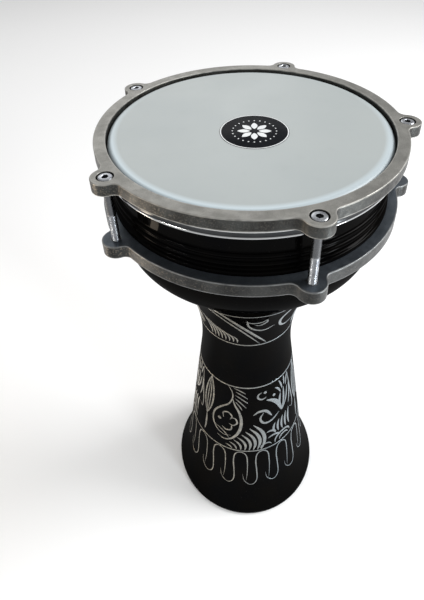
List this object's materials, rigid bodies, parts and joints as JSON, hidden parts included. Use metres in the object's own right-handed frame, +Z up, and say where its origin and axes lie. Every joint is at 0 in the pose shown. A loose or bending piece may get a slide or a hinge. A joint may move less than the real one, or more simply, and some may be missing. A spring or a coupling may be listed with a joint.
{
  "type": "goblet drum",
  "caption": "Goblet drum with a spun black shell, flaring foot, synthetic head, flesh hoop and two cast rings drawn together by socket screws.",
  "frame": {"origin": "centre of the foot's mouth, on the drum's axis at the floor", "axes": "+Z up along the drum's axis to the head; the lugs stand at 218.3, 146.3, 74.3, 2.3 and 290.3 degrees from +X, and -Y is the side towards the player's view"},
  "size_m": [0.2315, 0.232, 0.436],
  "materials": {
    "black_lacquer": "gloss black lacquer over spun aluminium, engraved down to the bright metal",
    "steel_wire": "plain drawn steel wire",
    "cast_ring": "fine-grained satin casting with worn bright edges",
    "bright_hoop": "bright rolled channel",
    "resin": "cast resin",
    "film": "smooth satin polyester film",
    "label": "printed vinyl",
    "zinc_screw": "bright zinc plate"
  },
  "bodies": {
    "drum": {"kettle": "black_lacquer", "edge_wire": "steel_wire", "stem": "black_lacquer", "foot_wire": "steel_wire", "lower_ring": "cast_ring", "flesh_hoop": "bright_hoop", "hoop_resin": "resin", "drumhead": "film", "head_sticker": "label"},
    "tension_ring": {"top_ring": "cast_ring"},
    "screw_1": {"tension_screw_1": "zinc_screw"},
    "screw_2": {"tension_screw_2": "zinc_screw"},
    "screw_3": {"tension_screw_3": "zinc_screw"},
    "screw_4": {"tension_screw_4": "zinc_screw"},
    "screw_5": {"tension_screw_5": "zinc_screw"}
  },
  "joints": [
    {"name": "ring_lift", "type": "slide", "parent": "drum", "child": "tension_ring", "axis": [0, 0, 1], "range_m": [0, 0.01]},
    {"name": "screw_turn_1", "type": "hinge", "parent": "tension_ring", "child": "screw_1", "pos_m": [-0.0879, -0.06942, 0.4325], "axis": [0, 0, 1], "range_deg": [0, 3600]},
    {"name": "screw_turn_2", "type": "hinge", "parent": "tension_ring", "child": "screw_2", "pos_m": [-0.09318, 0.06214, 0.4325], "axis": [0, 0, 1], "range_deg": [0, 3600]},
    {"name": "screw_turn_3", "type": "hinge", "parent": "tension_ring", "child": "screw_3", "pos_m": [0.03031, 0.10782, 0.4325], "axis": [0, 0, 1], "range_deg": [0, 3600]},
    {"name": "screw_turn_4", "type": "hinge", "parent": "tension_ring", "child": "screw_4", "pos_m": [0.11191, 0.00449, 0.4325], "axis": [0, 0, 1], "range_deg": [0, 3600]},
    {"name": "screw_turn_5", "type": "hinge", "parent": "tension_ring", "child": "screw_5", "pos_m": [0.03886, -0.10504, 0.4325], "axis": [0, 0, 1], "range_deg": [0, 3600]}
  ],
  "couplings": [
    {"joint": "screw_turn_1", "follows": "ring_lift", "rad_per_m": 6283.2},
    {"joint": "screw_turn_2", "follows": "ring_lift", "rad_per_m": 6283.2},
    {"joint": "screw_turn_3", "follows": "ring_lift", "rad_per_m": 6283.2},
    {"joint": "screw_turn_4", "follows": "ring_lift", "rad_per_m": 6283.2},
    {"joint": "screw_turn_5", "follows": "ring_lift", "rad_per_m": 6283.2}
  ]
}
